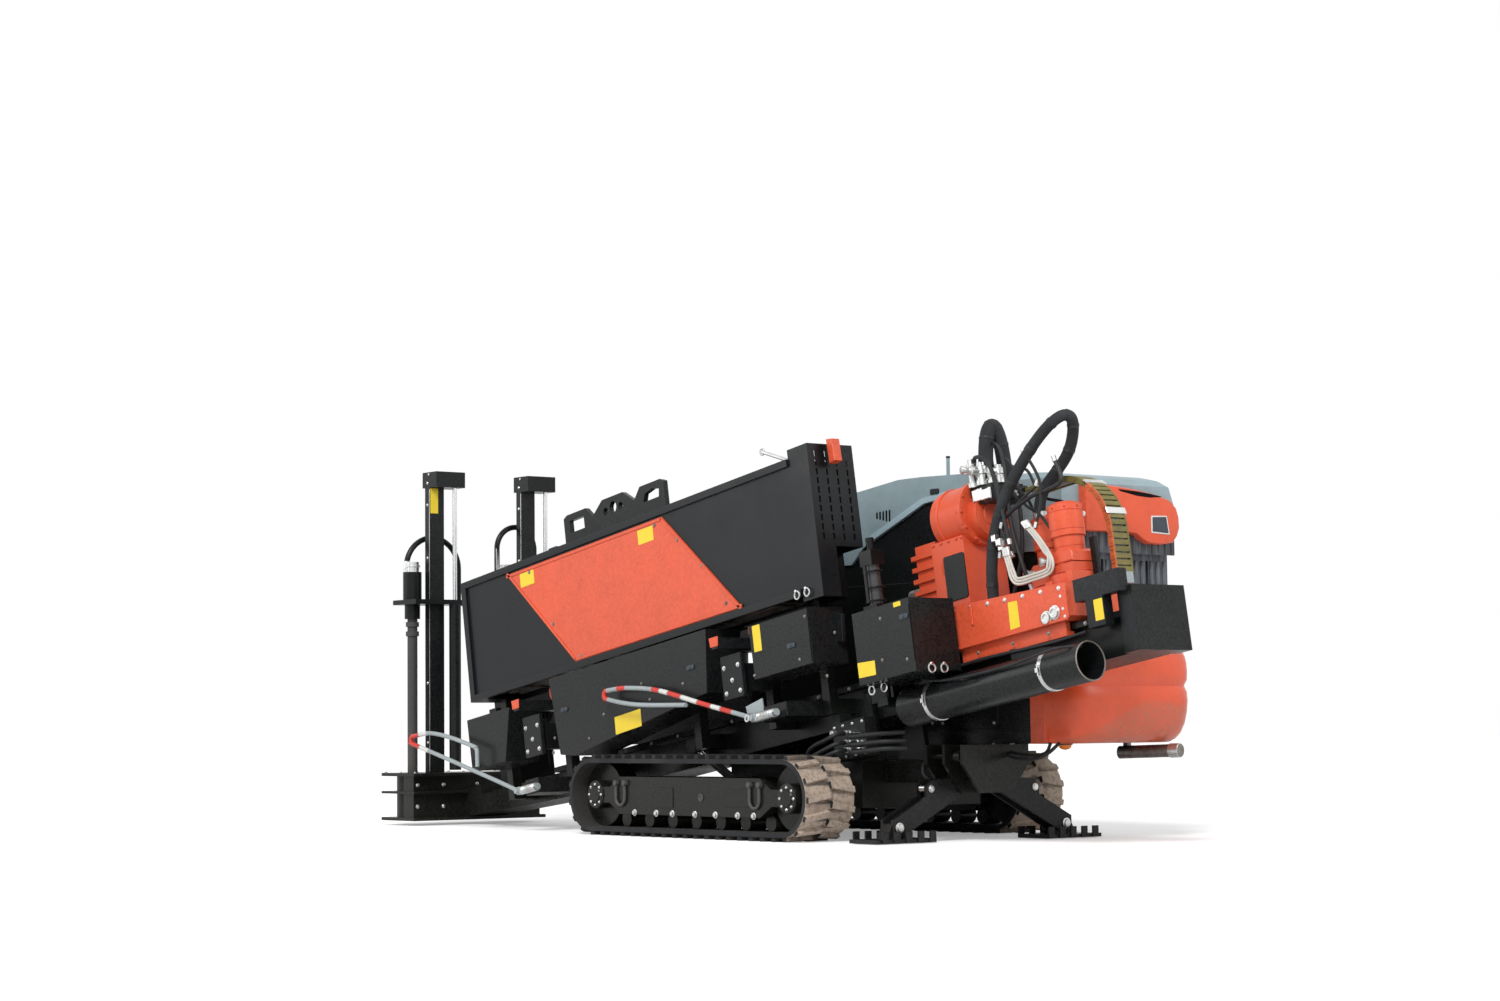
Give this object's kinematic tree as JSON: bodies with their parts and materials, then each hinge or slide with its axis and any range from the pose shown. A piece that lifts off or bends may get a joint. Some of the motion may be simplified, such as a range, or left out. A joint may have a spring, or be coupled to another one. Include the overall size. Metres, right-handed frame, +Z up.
{
  "type": "horizontal directional drill",
  "caption": "Tracked horizontal directional drilling rig with tilted drill frame, pipe box, sliding rotary carriage, ground anchors and rear stabilizers.",
  "frame": {"origin": "on the ground under the middle of the bounding box", "axes": "+X forward, the drilling direction; +Y the machine left; +Z up"},
  "size_m": [6.4234, 1.827, 2.2501],
  "materials": {
    "black_paint": "satin",
    "orange_paint": "satin",
    "grey_paint": "satin",
    "striped_paint": "satin",
    "rubber": "matt",
    "hose_rubber": "matt",
    "chrome": "polished",
    "steel": "worn",
    "cast": "rough",
    "plastic": "matt",
    "seat_vinyl": "matt"
  },
  "bodies": {
    "chassis": {"chassis_frame": "black_paint", "track_frames": "black_paint", "track_left": "rubber", "track_right": "rubber", "engine_base": "black_paint", "engine_block": "cast", "grille": "plastic", "engine_cowl": "orange_paint", "tail_pipe": "steel", "operator_console": "plastic"},
    "drill_frame": {"frame_beam": "black_paint", "rack": "steel", "pipe_box": "black_paint", "box_panel": "orange_paint", "drill_pipes": "steel", "lifting_bracket": "black_paint", "frame_covers": "plastic", "frame_fittings": "steel", "wrench_fixed": "orange_paint", "anchor_base": "black_paint", "masts": "black_paint", "mast_rods": "chrome", "trip_bars": "striped_paint", "storage_tube": "black_paint"},
    "carriage": {"carriage_base": "orange_paint", "gearbox": "orange_paint", "thrust_motors": "orange_paint", "carriage_hoses": "hose_rubber", "hose_carrier": "plastic"},
    "spindle_body": {"spindle": "steel"},
    "shuttle": {"shuttle_arms": "black_paint"},
    "wrench": {"wrench_rotating": "orange_paint"},
    "hood_body": {"hood": "grey_paint"},
    "seat": {"operator_seat": "seat_vinyl"},
    "tilt_barrel_body": {"tilt_barrel": "black_paint"},
    "tilt_rod_body": {"tilt_rod": "chrome"},
    "stabilizer_left_body": {"stabilizer_left": "black_paint"},
    "stab_barrel_left_body": {"stab_barrel_left": "black_paint"},
    "stab_rod_left_body": {"stab_rod_left": "chrome"},
    "anchor_drive_left_body": {"anchor_drive_left": "black_paint"},
    "anchor_auger_left_body": {"anchor_auger_left": "steel"},
    "stabilizer_right_body": {"stabilizer_right": "black_paint"},
    "stab_barrel_right_body": {"stab_barrel_right": "black_paint"},
    "stab_rod_right_body": {"stab_rod_right": "chrome"},
    "anchor_drive_right_body": {"anchor_drive_right": "black_paint"},
    "anchor_auger_right_body": {"anchor_auger_right": "steel"}
  },
  "joints": [
    {"name": "frame_tilt", "type": "hinge", "parent": "chassis", "child": "drill_frame", "pos_m": [-1.1883, 0.24, 0.75], "axis": [0, -1, 0], "range_deg": [0, 9.11]},
    {"name": "carriage_slide", "type": "slide", "parent": "drill_frame", "child": "carriage", "axis": [0.9874, 0, -0.1583], "range_m": [0, 3.4]},
    {"name": "spindle_spin", "type": "hinge", "parent": "carriage", "child": "spindle_body", "pos_m": [-1.54517, 0.24, 1.30349], "axis": [0.9874, 0, -0.1583], "continuous": true},
    {"name": "shuttle_slide", "type": "slide", "parent": "drill_frame", "child": "shuttle", "axis": [0, 1, 0], "range_m": [-0.335, 0]},
    {"name": "wrench_turn", "type": "hinge", "parent": "drill_frame", "child": "wrench", "pos_m": [2.24639, 0.24, 0.6955], "axis": [0.9874, 0, -0.1583], "range_deg": [0, 45]},
    {"name": "hood_open", "type": "hinge", "parent": "chassis", "child": "hood_body", "pos_m": [-1.6933, -0.475, 1.93], "axis": [0, -1, 0], "range_deg": [0, 50]},
    {"name": "seat_swivel", "type": "hinge", "parent": "chassis", "child": "seat", "pos_m": [1.1117, -0.495, 0.98], "axis": [0, 0, 1], "range_deg": [0, 60]},
    {"name": "stabilizer_left_swing", "type": "hinge", "parent": "chassis", "child": "stabilizer_left_body", "pos_m": [-1.6183, 0.16, 0.3], "axis": [1, 0, 0], "range_deg": [0, 28]},
    {"name": "stab_barrel_left_turn", "type": "hinge", "parent": "chassis", "child": "stab_barrel_left_body", "pos_m": [-1.6183, -0.08, 0.44], "axis": [1, 0, 0], "range_deg": [0, 13.15]},
    {"name": "stab_rod_left_slide", "type": "slide", "parent": "stab_barrel_left_body", "child": "stab_rod_left_body", "axis": [0, 0.9457, -0.3251], "range_m": [-0.04213, 0]},
    {"name": "stabilizer_right_swing", "type": "hinge", "parent": "chassis", "child": "stabilizer_right_body", "pos_m": [-1.7583, 0.04, 0.3], "axis": [-1, 0, 0], "range_deg": [0, 28]},
    {"name": "stab_barrel_right_turn", "type": "hinge", "parent": "chassis", "child": "stab_barrel_right_body", "pos_m": [-1.7583, 0.28, 0.44], "axis": [-1, 0, 0], "range_deg": [0, 13.15]},
    {"name": "stab_rod_right_slide", "type": "slide", "parent": "stab_barrel_right_body", "child": "stab_rod_right_body", "axis": [0, -0.9457, -0.3251], "range_m": [-0.04213, 0]},
    {"name": "tilt_barrel_turn", "type": "hinge", "parent": "chassis", "child": "tilt_barrel_body", "pos_m": [-0.1883, 0.45, 0.24], "axis": [0, -1, 0], "range_deg": [0, 17.15]},
    {"name": "tilt_rod_slide", "type": "slide", "parent": "tilt_barrel_body", "child": "tilt_rod_body", "axis": [0.8909, 0, 0.4543], "range_m": [0, 0.1616]},
    {"name": "anchor_left_slide", "type": "slide", "parent": "drill_frame", "child": "anchor_drive_left_body", "axis": [0, 0, 1], "range_m": [0, 0.7]},
    {"name": "anchor_left_spin", "type": "hinge", "parent": "anchor_drive_left_body", "child": "anchor_auger_left_body", "pos_m": [3.0617, 0.65, 0.7], "axis": [0, 0, 1], "continuous": true},
    {"name": "anchor_right_slide", "type": "slide", "parent": "drill_frame", "child": "anchor_drive_right_body", "axis": [0, 0, 1], "range_m": [0, 0.7]},
    {"name": "anchor_right_spin", "type": "hinge", "parent": "anchor_drive_right_body", "child": "anchor_auger_right_body", "pos_m": [3.0617, -0.048, 0.7], "axis": [0, 0, 1], "continuous": true}
  ],
  "couplings": [
    {"joint": "stab_barrel_left_turn", "follows": "stabilizer_left_swing", "ratio": 0.46031},
    {"joint": "stab_rod_left_slide", "follows": "stabilizer_left_swing", "m_per_rad": -0.08451},
    {"joint": "stab_barrel_right_turn", "follows": "stabilizer_right_swing", "ratio": 0.46031},
    {"joint": "stab_rod_right_slide", "follows": "stabilizer_right_swing", "m_per_rad": -0.08451},
    {"joint": "tilt_barrel_turn", "follows": "frame_tilt", "ratio": 1.8456},
    {"joint": "tilt_rod_slide", "follows": "frame_tilt", "m_per_rad": 0.99642}
  ]
}
